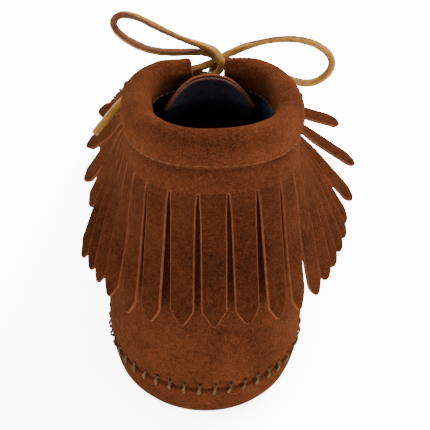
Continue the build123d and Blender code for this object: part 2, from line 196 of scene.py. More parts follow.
# %% Smooth random numbers
def wander(p, cell, seed):
    """Numbers from -1 to 1 that change smoothly over about one cell (mm)."""
    table = np.random.default_rng(seed).uniform(-1, 1, (16, 16, 16))
    q = p / cell
    i = np.floor(q).astype(int)
    f = q - i
    f = f * f * (3 - 2 * f)
    total = np.zeros(p.shape[:-1])
    for corner in np.ndindex(2, 2, 2):
        o = np.array(corner)
        j = (i + o) % 16
        total += np.prod(np.where(o == 1, f, 1 - f), -1) * table[j[..., 0], j[..., 1], j[..., 2]]
    return total


print("noise at the origin", round(float(wander(np.zeros((1, 3)), 10, 1)[0]), 3))

# %% [markdown]
# The lace is a suede thong cut from hide: brown and napped on the face, golden on the flesh side and
# on the cut edges. It is limp, so it lies in lazy loops. Its line is a NURBS spline through the same
# points as the CAD tube. The spline only gives the line: a rounded square is carried along the points
# read back from it, and turned so that the golden side looks where it does on the tied bow.

# %% Lace routes (metres)
LEFT_ROUTE = [(-0.0065, -0.0227, 0.1025), (-0.001, -0.0215, 0.1028), (0.005, -0.0195, 0.104),
              (0.012, -0.0165, 0.1065), (0.022, -0.0145, 0.1096), (0.033, -0.0125, 0.1106),
              (0.043, -0.010, 0.1088), (0.052, -0.008, 0.104), (0.0575, -0.0068, 0.097),
              (0.056, -0.0068, 0.0898), (0.049, -0.008, 0.0858), (0.041, -0.010, 0.0882),
              (0.032, -0.0115, 0.094), (0.022, -0.013, 0.0986), (0.013, -0.015, 0.1014),
              (0.0068, -0.0165, 0.1012), (0.0046, -0.0155, 0.0964), (0.005, -0.0105, 0.0915),
              (0.0074, -0.002, 0.0855), (0.0096, 0.007, 0.0785), (0.0112, 0.0155, 0.0705)]
RIGHT_ROUTE = [(0.0135, -0.0231, 0.1026), (0.0095, -0.0223, 0.1063), (0.0045, -0.0192, 0.1084),
               (-0.0015, -0.0164, 0.108), (-0.0095, -0.0145, 0.1066), (-0.019, -0.013, 0.1068),
               (-0.027, -0.0115, 0.1098), (-0.033, -0.0106, 0.1142), (-0.0356, -0.0102, 0.1194),
               (-0.032, -0.0106, 0.1236), (-0.025, -0.012, 0.1226), (-0.0155, -0.014, 0.1176),
               (-0.0065, -0.016, 0.1136), (0.001, -0.0186, 0.112), (0.0066, -0.022, 0.1112),
               (0.0088, -0.0248, 0.1078), (0.0084, -0.025, 0.103), (0.0044, -0.023, 0.0998),
               (-0.0008, -0.0186, 0.0988), (-0.0065, -0.0146, 0.0978), (-0.0145, -0.012, 0.0955),
               (-0.024, -0.0145, 0.092), (-0.0325, -0.0195, 0.0875), (-0.039, -0.0226, 0.081),
               (-0.0444, -0.023, 0.074)]
LACE_WIDTH, LACE_THICK = 3.0, 2.6                 # mm
UP_VIEW = np.array([0.0, 0.57, 0.82])             # up, square to the line of sight from the heel
TO_VIEW = np.array([0.0, -0.82, 0.57])            # towards that viewer
ACROSS = np.array([1.0, 0.0, 0.0])


def spline_points(name, route):
    """Points along the NURBS spline with these control points, in metres."""
    data = bpy.data.curves.new(name, "CURVE")
    data.dimensions = "3D"
    data.resolution_u = 10
    spline = data.splines.new("NURBS")
    spline.points.add(len(route) - 1)
    spline.points.foreach_set("co", np.column_stack([route, np.ones(len(route))]).ravel())
    spline.order_u = 3
    spline.use_endpoint_u = True
    holder = bpy.data.objects.new(name, data)
    line = bpy.data.meshes.new_from_object(holder)
    points = np.zeros(len(line.vertices) * 3)
    line.vertices.foreach_get("co", points)
    bpy.data.objects.remove(holder)
    bpy.data.meshes.remove(line)
    return points.reshape(-1, 3)


# %% Lace thongs
def thong(name, route, golden, seed):
    """A rounded square along the route. golden is a list of (share of the way, direction of the flesh
    side); the section's own axes are that direction, made square to the line, and a third across."""
    path = spline_points(name + "_line", route)
    p = path / MM
    along = unit(np.gradient(p, axis=0))
    share = np.linspace(0, 1, len(p))
    keys = np.array([g[0] for g in golden])
    flesh = np.stack([np.interp(share, keys, [g[1][i] for g in golden]) for i in range(3)], -1)
    e1 = unit(flesh - along * np.sum(flesh * along, -1, keepdims=True))
    e2 = np.cross(along, e1)
    a = np.arange(20) / 20 * TAU
    square = 2 / 3.4
    x = np.sign(np.cos(a)) * np.abs(np.cos(a)) ** square * LACE_THICK / 2
    y = np.sign(np.sin(a)) * np.abs(np.sin(a)) ** square * LACE_WIDTH / 2
    rings = p[:, None] + e1[:, None] * x[:, None] + e2[:, None] * y[:, None]
    rough = 0.10 * wander(rings, 2.2, seed) + 0.10 * wander(rings, 6.0, seed + 1)
    rings = rings + (rings - p[:, None]) / (LACE_WIDTH / 2) * rough[..., None]
    gold = np.broadcast_to(smooth(-0.25, 0.35, np.cos(a) + 0.25 * np.abs(np.sin(a))), rings.shape[:2])
    piece = tube_piece(name, rings, {"flesh": gold})
    length = np.linalg.norm(np.diff(path, axis=0), axis=1).sum()
    print(name, "%.1f mm long," % (length / MM), len(p), "stations")
    return piece, path


left_lace, left_path = thong("lace_left", LEFT_ROUTE, [
    (0.0, TO_VIEW + 0.5 * UP_VIEW), (0.12, TO_VIEW), (0.2, -UP_VIEW), (0.42, -UP_VIEW + 0.3 * TO_VIEW),
    (0.5, TO_VIEW - UP_VIEW), (0.7, -UP_VIEW + 0.4 * TO_VIEW), (0.76, TO_VIEW), (0.84, ACROSS),
    (1.0, ACROSS)], 21)
right_lace, right_path = thong("lace_right", RIGHT_ROUTE, [
    (0.0, TO_VIEW), (0.06, TO_VIEW), (0.12, -TO_VIEW - 0.7 * UP_VIEW), (0.28, -TO_VIEW - 0.7 * UP_VIEW),
    (0.35, -TO_VIEW), (0.42, UP_VIEW - 0.2 * TO_VIEW), (0.54, UP_VIEW + 0.4 * TO_VIEW),
    (0.6, TO_VIEW + 0.4 * UP_VIEW), (0.7, TO_VIEW), (0.78, -UP_VIEW),
    (0.9, TO_VIEW - 0.5 * UP_VIEW), (1.0, TO_VIEW - 0.5 * UP_VIEW)], 31)
for piece, path, length, node in ((left_lace, left_path, 0.178, "lace_left_half"),
                                  (right_lace, right_path, 0.182, "lace_right_half")):
    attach(piece, "boot")
    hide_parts(node)

# %% [markdown]
# The boot itself is one soft shape: a sole outline below, a rounded ankle above, and a bulge and an
# instep between them. Four such rings are blended by a cubic Bezier, so any point of the skin is a
# function of two numbers: t runs round the foot (0 at the heel, 0.5 at the toe) and v runs up the
# wall from 0 to 1. A third number moves the point outwards, which gives lining, suede and fringe.

# %% Shape of the boot (mm)
LENGTH = 236.0
HEEL_HALF, WAIST_CUT, BALL_ADD = 36.0, 2.5, 5.0
TOE_LIFT = 9.0                                       # extra height of the forefoot
CUFF_X, CUFF_Y = 2.5, -64.5
CUFF_A, CUFF_B, CUFF_N = 28.0, 41.5, 2.5
TOP_BACK, TOP_FRONT = 111.0, 94.0
SUEDE = 1.4
D_MID, D_OUT = 1.5, 3.0
BAND_IN, BAND_OUT = 4.0, 5.4
SOLE_T, BED_T = 1.6, 4.0
SEAM_HEEL, SEAM_RISE = 15.0, 19.0
JOIN_Y, JOIN_Z, JOIN_DY, JOIN_DZ = 8.0, 66.0, 17.0, 46.0
GAP_X, GAP_HALF, THROAT_Z, THROAT_HALF = 3.4, 7.8, 66.0, 3.6


def centre_x(y):
    """The foot's centre line, which bends towards the inner side at the toe."""
    return -1.5 - 2.0 * smooth(-60, 50, y) - 5.0 * smooth(30, 118, y)


def sole_ring(t):
    """Outline of the sole: half-width by length, rounded off at heel and toe."""
    y = -LENGTH / 2 * np.cos(TAU * t)
    side = np.sign(np.sin(TAU * t))
    d, e = y + LENGTH / 2, LENGTH / 2 - y
    half = HEEL_HALF - WAIST_CUT * smooth(30, 95, d) + BALL_ADD * smooth(95, 170, d)
    heel = np.sqrt(np.clip(1 - np.clip(1 - d / 46, 0, 1) ** 2.15, 0, 1))
    toe = np.sqrt(np.clip(1 - np.clip(1 - e / 78, 0, 1) ** 2.1, 0, 1))
    return np.stack([centre_x(y) + side * half * heel * toe, y], -1)


def cuff_ring(t):
    """A superellipse round the ankle."""
    a = TAU * np.asarray(t, float)
    s, c = np.sin(a), -np.cos(a)
    return np.stack([CUFF_X + CUFF_A * np.sign(s) * np.abs(s) ** (2 / CUFF_N),
                     CUFF_Y + CUFF_B * np.sign(c) * np.abs(c) ** (2 / CUFF_N)], -1)


def top_z(y):
    """Height of the stitch line under the rolled collar: it falls towards the front."""
    return TOP_BACK + (TOP_FRONT - TOP_BACK) * (y - (CUFF_Y - CUFF_B)) / (2 * CUFF_B)


def cut_z(y):
    """Height at which the slits between the strands begin."""
    return top_z(y) - 10.4 + 3.0 * (y - (CUFF_Y - CUFF_B)) / (2 * CUFF_B)


def seam_z(y):
    """Height of the hand-sewn seam: low at the heel, rising to the toe."""
    return SEAM_HEEL + SEAM_RISE * smooth(-40, 100, y)


# %% Skin of the boot
def raised(xy, z):
    return np.concatenate([xy, z[..., None]], -1)


def spine(y):
    """The line that the sole outline shrinks onto."""
    return np.stack([centre_x(y), np.clip(y, -74, 50)], -1)


def base(t, v):
    """Four rings blended by a cubic Bezier: sole edge, bulge, instep, ankle."""
    t, v = np.broadcast_arrays(np.asarray(t, float), np.asarray(v, float))
    forward = (1 - np.cos(TAU * t)) / 2
    sole, cuff = sole_ring(t), cuff_ring(t)
    out = unit(sole - spine(sole[..., 1]))
    f = forward[..., None]
    q0 = raised(sole - 3.0 * out, 0 * forward)
    q1 = raised(sole + out * (9 - 5 * f), 34 + 5 * forward + TOE_LIFT * forward ** 2)
    instep = cuff + np.stack([-5 + 0 * forward, 30 + 0 * forward], -1) * f ** 2
    instep = instep + (instep - np.array([CUFF_X, CUFF_Y])) * np.array([0.12, 0.0])
    q2 = raised(instep, 80 - 38 * forward + TOE_LIFT * forward ** 2)
    q3 = raised(cuff, top_z(cuff[..., 1]))
    v = v[..., None]
    return (1 - v) ** 3 * q0 + 3 * (1 - v) ** 2 * v * q1 + 3 * (1 - v) * v * v * q2 + v ** 3 * q3


def normal(t, v):
    """Outward direction, level at the sole and along the tilted top edge at the ankle."""
    h = 1e-3
    v = np.asarray(v, float)
    inside = np.clip(v, h, 1 - h)
    n = unit(np.cross(base(t + h, inside) - base(t - h, inside), base(t, inside + h) - base(t, inside - h)))
    flat = unit(n * np.array([1.0, 1.0, 0.0]))
    flat[..., 2] = (TOP_FRONT - TOP_BACK) / (2 * CUFF_B) * flat[..., 1] * (v > 0.5)
    k = (smooth(0.0, 0.08, v) * smooth(0.0, 0.06, 1 - v))[..., None]
    return n * k + flat * (1 - k)


def shell(t, v, d):
    """The skin, moved outwards by d."""
    d = np.asarray(d, float)
    return base(t, v) + normal(t, v) * (d[..., None] if d.ndim else d)


def level_where(t, test, d):
    """For each t, the level v at which test(point) first turns positive on the way up."""
    v = np.linspace(0.004, 1.0, 500)
    value = test(shell(t[:, None], v[None, :], d))
    i = np.clip(np.argmax(value > 0, axis=1), 1, None)
    row = np.arange(len(t))
    a, b = value[row, i - 1], value[row, i]
    return v[i - 1] + (v[i] - v[i - 1]) * np.clip(a / np.where(a == b, 1, a - b), 0, 1)


def lengths(points):
    return np.concatenate([[0], np.cumsum(np.linalg.norm(np.diff(points, axis=0), axis=1))])


outsole_low, outsole_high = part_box("outsole")
print("sole outline %.1f mm long here, outsole node %.1f mm" % (
    np.ptp(sole_ring(np.linspace(0, 1, 400))[:, 1]), (outsole_high.y - outsole_low.y) / MM))

# %% [markdown]
# A moccasin is sewn by hand: a wrap comes up from under the foot and is whip-stitched to the vamp and
# the quarter all the way round. The stitches pull the two edges in, so the leather swells between
# them. That is a formula too: a valley along the seam, deeper at each stitch, with folds that run
# down from it where the wrap is gathered round the toe.

# %% The seam, measured along its own length
WHIP_PITCH, WHIP_HALF = 6.0, 2.7
RING_T = np.linspace(-0.5, 0.5, 1201)
SEAM_V = level_where(RING_T, lambda p: p[..., 2] - seam_z(p[..., 1]), D_OUT)
SEAM_S = lengths(shell(RING_T, SEAM_V, D_OUT))
STITCHES = int(SEAM_S[-1] / WHIP_PITCH)
print(STITCHES, "whip stitches on a seam of %.0f mm" % SEAM_S[-1])


def stitch_phase(t):
    """Counts stitches along the seam; a whole number and a half lies under a stitch."""
    return np.interp(t, RING_T, SEAM_S) / SEAM_S[-1] * STITCHES


def sewn(p, t, gather):
    """How far the leather stands out near the seam (mm), from its height above or below it."""
    off = np.abs(p[..., 2] - seam_z(p[..., 1]))
    wave = np.cos(TAU * stitch_phase(t))
    toe = smooth(10, 90, p[..., 1])
    valley = -1.0 * np.exp(-(off / 1.1) ** 2)
    pillow = 0.32 * np.exp(-(off / 3.0) ** 2) * wave
    folds = gather * toe * 0.75 * np.exp(-off / 8.0) * (wave + 0.3) * smooth(0, 2, off)
    return valley + pillow + folds


def soft_skin(p, seed):
    """Slow and quick waves of worn suede (mm)."""
    return 0.45 * wander(p, 24, seed) + 0.14 * wander(p, 8, seed + 1)


# %% Bottom wrap
def wrap_piece():
    """Rows run from the edge turned under the foot, up the wall, to the seam; columns go round."""
    s = np.linspace(0, 1, 480, endpoint=False)
    t = np.interp(s * SEAM_S[-1], SEAM_S, RING_T)
    low = level_where(t, lambda p: p[..., 2] - SOLE_T - 0.6, D_OUT)
    high = np.interp(t, RING_T, SEAM_V) - 0.002
    w = 1 - (1 - np.linspace(0, 1, 44)) ** 1.5
    v = low + (high - low) * w[:, None]
    tt = np.broadcast_to(t, v.shape)
    n = normal(tt, v)
    p = shell(tt, v, D_OUT - SUEDE / 2)
    p = p + n * (sewn(p, tt, 1.0) + soft_skin(p, 5) * smooth(0.0, 0.3, w)[:, None])[..., None]
    inward = spine(p[0, :, 1]) - p[0, :, :2]
    inward = raised(unit(inward), 0 * inward[:, 0])
    under, turned = [], []
    for step, angle in ((7.0, 1.0), (4.0, 1.0), (2.0, 0.85), (0.9, 0.6), (0.25, 0.3)):
        a = angle * np.pi / 2
        row = p[0] + inward * step
        row[:, 2] = SOLE_T + SUEDE / 2 + (p[0, :, 2] - SOLE_T - SUEDE / 2) * (1 - np.sin(a))
        under.append(row)
        turned.append(unit(n[0] * np.cos(a) + np.array([0, 0, -1.0]) * np.sin(a)))
    mid = np.concatenate([np.array(under), p])
    half = np.concatenate([np.array(turned), n]) * SUEDE / 2
    return sheet_piece("bottom_wrap_skin", mid, half, wrap=True)


wrap = wrap_piece()
print("wrap:", len(wrap.data.polygons), "faces")

# %% [markdown]
# The vamp lies over the instep and the quarter goes round the heel, open at the front for the foot.
# Their slanting join is a lapped seam: the vamp dips under the quarter's edge, with one row of
# machine stitches beside it. The quarter's grid has curved limits, so each point's t and v depend on
# each other; a few rounds of correction on the whole array settle them.

# %% Vamp and quarter
def ahead(p):
    """Distance in front of the slanting join (mm)."""
    g = (p[..., 1] - JOIN_Y) * JOIN_DZ - (p[..., 2] - JOIN_Z) * JOIN_DY
    return g / np.hypot(JOIN_DY, JOIN_DZ)


JOIN_V = level_where(RING_T, lambda p: -ahead(p), D_OUT)
TUCK_V = level_where(RING_T, lambda p: -ahead(p) - 3.0, D_OUT)


def vamp_piece():
    """Columns go over the foot from one end of the join to the other, rows from seam to join."""
    front = np.abs(RING_T) > 0.2
    covered = RING_T[front & (TUCK_V > SEAM_V + 0.002)] % 1
    t = np.linspace(covered.min(), covered.max(), 300)
    ring = np.where(t > 0.5, t - 1, t)
    low = np.interp(ring, RING_T, SEAM_V) + 0.002
    high = np.interp(ring, RING_T, TUCK_V)
    w = np.linspace(0, 1, 70) ** 1.25
    v = low + np.maximum(high - low, 1e-4) * w[:, None]
    tt = np.broadcast_to(ring, v.shape)
    n = normal(tt, v)
    p = shell(tt, v, D_OUT - SUEDE / 2)
    dip = -1.5 * smooth(2.0, -0.8, ahead(p))
    p = p + n * (sewn(p, tt, 0.45) + soft_skin(p, 5) + dip)[..., None]
    return sheet_piece("vamp_skin", p, n * SUEDE / 2)


def opening_t(v, side, d):
    """Where the front opening's edge lies at each level v, on the +X or -X side."""
    t = np.linspace(0.26, 0.5, 400)
    grid_t = t if side > 0 else -t
    p = shell(np.broadcast_to(grid_t, v.shape + t.shape), v[..., None], d)
    z = p[..., 2]
    half = np.interp(z, [THROAT_Z - 4, THROAT_Z, 98], [0.2, THROAT_HALF, GAP_HALF])
    inside = (p[..., 0] - GAP_X) * side < half
    found = np.where(inside.any(-1), t[np.argmax(inside, -1)], 0.5)
    return found * side


LEVEL_TABLE = np.linspace(0, 1, 121)
OPEN_RIGHT, OPEN_LEFT = (opening_t(LEVEL_TABLE, side, D_OUT) for side in (1, -1))


def wall_grid(columns, rows, low_v, throat):
    """t and v of a wall that goes from one edge of the opening, round the heel, to the other."""
    a = np.linspace(0, 1, columns)[None, :]
    w = np.linspace(0, 1, rows)[:, None] ** 1.15
    v = 0.3 + 0.7 * w + 0 * a
    for _ in range(8):
        right = np.where(v > throat, np.interp(v, LEVEL_TABLE, OPEN_RIGHT), 0.5)
        left = np.where(v > throat, np.interp(v, LEVEL_TABLE, OPEN_LEFT), -0.5)
        t = right + (left - right) * a
        low = np.interp(t, RING_T, low_v)
        v = low + (1 - low) * w
    return t, v


def quarter_piece():
    """The wall behind the join, from the seam or the join up to the collar."""
    low = np.maximum(SEAM_V, np.where(np.abs(RING_T) > 0.2, JOIN_V, 0)) + 0.002
    t, v = wall_grid(420, 76, low, 0.0)
    n = normal(t, v)
    p = shell(t, v, D_OUT - SUEDE / 2)
    seam = sewn(p, t, 0.0)
    lap = 0.45 * smooth(-9, -2, ahead(p))
    calm = 1 - smooth(0.9, 1.0, v)
    p = p + n * (seam + lap + soft_skin(p, 5) * calm)[..., None]
    return sheet_piece("quarter_skin", p, n * SUEDE / 2)


vamp, quarter = vamp_piece(), quarter_piece()
print("vamp and quarter:", len(vamp.data.polygons), len(quarter.data.polygons), "faces")

# %% [markdown]
# Inside, the boot is lined with short black pile and has a padded insole. Only the face towards the
# foot is ever seen, but the lining is still a closed sheet, so it can be printed or handled alone.

# %% Lining and insole
def lining_piece():
    """The same wall, one layer further in, down to the floor and right round the toe."""
    floor = level_where(RING_T, lambda p: p[..., 2] - SOLE_T - SUEDE - 0.2, D_MID)
    t, v = wall_grid(260, 90, floor, 0.62)
    n = normal(t, v)
    p = shell(t, v, D_MID / 2)
    p = p + n * (0.12 * wander(p, 3.0, 41))[..., None]
    return sheet_piece("pile_lining_skin", p, n * 0.62)


def insole_piece():
    """Rings from the middle to the edge and back underneath; the top is crowned between them."""
    t = np.linspace(-0.5, 0.5, 220, endpoint=False)
    edge = shell(t, np.full(t.shape, 0.03), -0.9)
    share = np.concatenate([np.linspace(0, 1, 26) ** 0.7, np.linspace(1, 0, 26) ** 0.7])[:, None]
    middle = spine(edge[:, 1])
    xy = middle + (edge[:, :2] - middle) * share[..., None]
    over = (np.arange(52) < 26)[:, None]
    top = SOLE_T + BED_T - 1.3 * share ** 8
    bottom = SOLE_T + SUEDE + 0.1
    z = np.where(over, top, bottom) + 0 * xy[..., 0]
    points = np.concatenate([xy, z[..., None]], -1)
    points[..., 2] += over * 0.15 * wander(points, 9.0, 43) * (1 - share ** 4)
    return make_mesh("insole_pad", points, grid_faces(52, len(t), True))


lining, insole = lining_piece(), insole_piece()
print("lining faces", len(lining.data.polygons), "insole faces", len(insole.data.polygons))

# %% [markdown]
# The collar is a strip of suede rolled over into a tunnel for the lace. Its section is a smooth closed
# curve through a few points, carried round the ankle by length, so the tunnel keeps its width on the
# tight curves. The two ends are gathered a little by the lace and end in rounded lips.

# %% Ankle ring by length
GRID = np.linspace(-0.5, 0.5, 2001)


def ring_table(offset):
    """Length from the back, point and outward direction along the ankle ring at this offset."""
    p = cuff_ring(GRID)
    g = unit(np.gradient(p, axis=0))
    n = np.stack([g[:, 1], -g[:, 0]], 1)
    q = p + n * offset
    s = lengths(q)
    return s - s[len(s) // 2], q, n


def along_ring(s, offset):
    """Points and outward directions at the lengths s."""
    length, q, n = ring_table(offset)
    xy = np.stack([np.interp(s, length, q[:, i]) for i in range(2)], -1)
    return xy, unit(np.stack([np.interp(s, length, n[:, i]) for i in range(2)], -1))


def ring_end(offset, side, margin=0.0):
    """Length at which the ring meets the front opening's edge."""
    length, q, _ = ring_table(offset)
    x = GAP_X + side * (GAP_HALF + margin)
    ok = (q[:, 1] > CUFF_Y) & ((q[:, 0] - x) * side > 0)
    return length[ok].max() if side > 0 else length[ok].min()


def ring_t(s, offset):
    return np.interp(s, ring_table(offset)[0], GRID)


# %% Rolled collar
COLLAR = np.array([(5.2, 0.3), (6.5, 2.4), (7.2, 5.6), (7.3, 9.6), (5.4, 13.6), (1.4, 15.7),
                   (-2.6, 13.9), (-4.6, 10.0), (-4.1, 5.0), (-2.6, 1.6), (-1.2, 0.5), (2.0, 0.35)])
COLLAR_MIDDLE = np.array([1.5, 8.0])
COLLAR_WALL = 1.7


def loop_through(points, count):
    """A closed Catmull-Rom curve: each span is a cubic that passes through two of the points."""
    u = np.linspace(0, len(points), count, endpoint=False)
    i = np.floor(u).astype(int)
    f = (u - i)[:, None]
    p0, p1, p2, p3 = (points[(i + k) % len(points)] for k in (-1, 0, 1, 2))
    return 0.5 * (2 * p1 + (p2 - p0) * f + (2 * p0 - 5 * p1 + 4 * p2 - p3) * f ** 2
                  + (3 * p1 - p0 - 3 * p2 + p3) * f ** 3)


def collar_piece():
    """The section's points (outward, up), set on the ring at each station; up follows the tilt."""
    outline = loop_through(COLLAR, 60)
    g = unit(np.roll(outline, -1, 0) - np.roll(outline, 1, 0))
    face = np.stack([g[:, 1], -g[:, 0]], 1)
    face = face * np.sign(np.sum(face * (outline - COLLAR_MIDDLE), 1, keepdims=True))
    s = np.linspace(ring_end(0.0, -1), ring_end(0.0, 1), 300)
    to_end = np.minimum(s - s[0], s[-1] - s)
    pinch = 1 - 0.17 * (1 - smooth(0, 13, to_end))[:, None, None]
    wall = outline - face * COLLAR_WALL / 2
    section = COLLAR_MIDDLE + (wall - COLLAR_MIDDLE) * pinch
    xy, out = along_ring(s, 0.0)
    flat = xy[:, None] + out[:, None] * section[..., :1]
    p = raised(flat, top_z(flat[..., 1]) + section[..., 1])
    n = raised(out[:, None] * face[None, :, :1], np.broadcast_to(face[:, 1], p.shape[:2]))
    gathers = 0.35 * (1 - smooth(0, 16, to_end))[:, None] * np.sin(np.arange(60) / 60 * TAU * 7)
    height = smooth(1.0, 6.0, section[..., 1])
    swell = 0.55 * wander(p, 17, 61) + 0.2 * wander(p, 6, 62) + gathers
    p = p + n * (swell * height)[..., None]
    return sheet_piece("collar_roll", p, n * COLLAR_WALL / 2, wrap=True)


collar = collar_piece()
print("collar faces", len(collar.data.polygons))

# %% [markdown]
# The fringe is one strip sewn under the collar: an uncut band, and below it 27 strands made by slits cut up
# from the lower edge. Each strand is a piece of its own. Its upper end lies inside the band and stays there;
# below the slit it turns about its root. The strand's surface starts as the band's curved wall and becomes a
# flat strap. Two short tables for each side of the foot, by strand number, say how far it leans off the wall
# and how far its fall turns towards the heel; at the sides the strap also twists, so that its face looks to
# the heel.

# %% Fringe band
BAND_MID = (BAND_IN + BAND_OUT) / 2
CUT_V = level_where(RING_T, lambda p: p[..., 2] - cut_z(p[..., 1]), BAND_MID)


def band_piece():
    s = np.linspace(ring_end(BAND_MID, -1, 0.6), ring_end(BAND_MID, 1, 0.6), 300)
    t = ring_t(s, BAND_MID)
    low = np.interp(t, RING_T, CUT_V)
    w = np.linspace(0, 1, 16)[:, None]
    v = low + (1 - low) * w
    tt = np.broadcast_to(t, v.shape)
    n = normal(tt, v)
    p = shell(tt, v, BAND_MID)
    drawn_in = -0.5 * smooth(0.75, 1.0, w)
    p = p + n * (0.25 * wander(p, 16, 71) * smooth(0, 0.4, w) * (1 - w) + drawn_in)[..., None]
    p[..., 2] -= 0.1 * w
    return sheet_piece("fringe_band_strip", p, n * SUEDE / 2)


band = band_piece()

# %% Fringe strands
PITCH, NARROW, SHIFT, COUNT = 10.5, 0.2, -2.0, 13
STRAND_LEN, SLIT, TIP_LEN, TIP_HALF = 53.0, 0.5, 6.5, 0.5
ROOT_DROP, BOW = 0.85, 1.5                           # play above the root, outward bow in degrees
TWIST = 38.0                                         # degrees by which the side strands face the heel
STRAND_NO = [0, 1, 3, 6, 7, 8, 10, 13]               # strands counted from the back
RIGHT_LEAN = [8, 7, 13, 18, 20, 21, 15, 9]           # degrees off the wall, outer side of the foot
LEFT_LEAN = [8, 7, 13, 11, 12, 5, 8, 17]
RIGHT_TURN = [0, 4, 38, 40, 34, 34, 38, 30]          # degrees towards the heel
LEFT_TURN = [0, 10, 40, 40, 40, -35, -25, 0]
SPLAY = np.random.default_rng(7).uniform(-1, 1, (2 * COUNT + 1, 4))


def strand_at(k):
    """Length along the ring of strand k; k = 0 hangs at the back."""
    return SHIFT + np.sign(k) * (PITCH * abs(k) - NARROW * k * k / 2)


def strand_lean(k):
    """Angles off the boot's wall at root and tip, and the turn of the fall towards the heel, in degrees."""
    lean, turn = (RIGHT_LEAN, RIGHT_TURN) if k > 0 else (LEFT_LEAN, LEFT_TURN)
    middle = np.interp(abs(k), STRAND_NO, lean)
    return middle - BOW, middle + BOW, np.interp(abs(k), STRAND_NO, turn)


def strand_line(k, n=61):
    """Root, centre line, face directions and the direction across strand k."""
    t = ring_t(strand_at(k), BAND_MID)
    p = shell(t, np.linspace(1, 0.55, 240), BAND_MID)
    drop = ROOT_DROP + 0.75 * abs(k) / COUNT
    i = int(np.argmax(p[:, 2] < cut_z(p[:, 1]) - drop))
    nn = along_ring(strand_at(k), BAND_MID)[1]
    side = np.array([-nn[1], nn[0], 0.0])
    first, last, turn = np.radians(strand_lean(k))
    out = nn * np.cos(turn) - np.sign(k) * side[:2] * np.sin(turn)
    n3 = np.cross(side, p[i] - p[i - 6])
    n3 = n3 * np.sign(n3[:2] @ nn)
    wall = np.arctan2(n3[2], n3[:2] @ out)
    s = np.linspace(0, STRAND_LEN, n)
    heading = wall + first + (last - first) * s / STRAND_LEN
    fall = np.stack([out[0] * np.sin(heading), out[1] * np.sin(heading), -np.cos(heading)], 1)
    step = s[1] * unit(fall[1:] + fall[:-1])
    line = np.concatenate([p[i:i + 1], p[i] + np.cumsum(step, 0)])
    face = unit(np.cross(fall, side))
    return s, line, face * np.sign(face[:, :2] @ nn)[:, None], side, drop


def strand_piece(k):
    """Rows run down the strand and columns across it. Near the root each point is a mix of the
    band's wall, carried straight down, and the strand's own line; the mix is an S-curve over 8 mm."""
    number = k + COUNT + 1
    s, line, face, side, drop = strand_line(k)
    down = np.concatenate([np.linspace(-0.5, 40, 34), np.linspace(41.5, STRAND_LEN + drop - 0.7, 18)])
    x = np.linspace(-1, 1, 13)
    at = np.clip(down - drop, 0, STRAND_LEN)
    before = np.minimum(down - drop, 0)[:, None]
    centre = np.stack([np.interp(at, s, line[:, i]) for i in range(3)], -1) + before * unit(line[1] - line[0])
    turned = np.stack([np.interp(at, s, face[:, i]) for i in range(3)], -1)
    u = abs(k) / COUNT
    full = (PITCH - NARROW * abs(k)) / 2 - SLIT / 2
    body = full * (1 - 0.02 * at / STRAND_LEN)
    power = 1.12 + 1.5 * smooth(0.2, 0.6, u) * (k > 0) + 0.2 * SPLAY[number - 1, 0]
    to_tip = np.clip((at - (STRAND_LEN - TIP_LEN)) / TIP_LEN, 0, 1)
    width = body * (1 - to_tip ** power) + TIP_HALF * to_tip ** power - 0.66 * (1 - 0.7 * to_tip)
    width = np.maximum(width, 0.12)[:, None]
    curl, cup, roll = SPLAY[number - 1, 1:]
    free = smooth(0, STRAND_LEN, at)[:, None]
    off = x * width
    twist = (np.radians(TWIST * smooth(0.15, 0.45, u)) * smooth(6, 32, at) * np.sign(k))[:, None]
    across = side * np.cos(twist) + turned * np.sin(twist)
    turned = turned * np.cos(twist) - side * np.sin(twist)
    strap = centre[:, None] + across[:, None] * (off + 0.5 * curl * free ** 2)[..., None]
    arch = (0.35 + 0.25 * cup) * smooth(0, 20, at)[:, None] * (1 - (off / full) ** 2)
    arch = arch + 0.06 * roll * free * off
    strap = strap + turned[:, None] * arch[..., None]
    t = ring_t(strand_at(k) + x * (full - 0.66), BAND_MID)
    v = np.interp(t, RING_T, CUT_V)
    root = shell(t, v, BAND_MID)
    fall = unit(shell(t, v - 0.02, BAND_MID) - root)
    wall = root + fall * down[:, None, None]
    mix = smooth(0.5, 9.0, down)[:, None, None]
    mid = wall * (1 - mix) + strap * mix
    half = unit(normal(t, v) * (1 - mix) + turned[:, None] * mix) * (SUEDE / 2 - 0.015)
    piece = sheet_piece("fringe_strand_%02d" % number, mid, half)
    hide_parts("strand_%02d" % number)
    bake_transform(piece)
    return piece


strands = [strand_piece(k) for k in range(-COUNT, COUNT + 1)]
print(len(strands), "strands of", len(strands[0].data.polygons), "faces")

# %% [markdown]
# The tongue is a loose flap that leans on the inside of the front. It is suede towards the toe and
# pile towards the shin, with a bound suede rim. Both layers are sheets bent across the foot, under a
# rounded top.

# %% Tongue
TONGUE_HALF, TONGUE_TOP, TONGUE_FOOT = 19.0, 105.0, 60.0
# height, distance inside the front wall, half-width, share of the bend across
TONGUE_ROWS = np.array([(60, 6.5, 15, .6), (72, 11.0, 15, .6), (84, 5.9, 19, 1), (92, 5.9, 19, 1),
                        (99, 7.2, 19, 1), (112, 8.4, 19, 1)])


def front_wall_y(h):
    """How far forward the inside of the front wall is at height h."""
    p = shell(np.full(300, 0.5), np.linspace(0.5, 1, 300), 0.0)
    y = np.interp(h, p[:, 2], p[:, 1])
    return np.where(h < 70, np.minimum(y, 9.0), y)


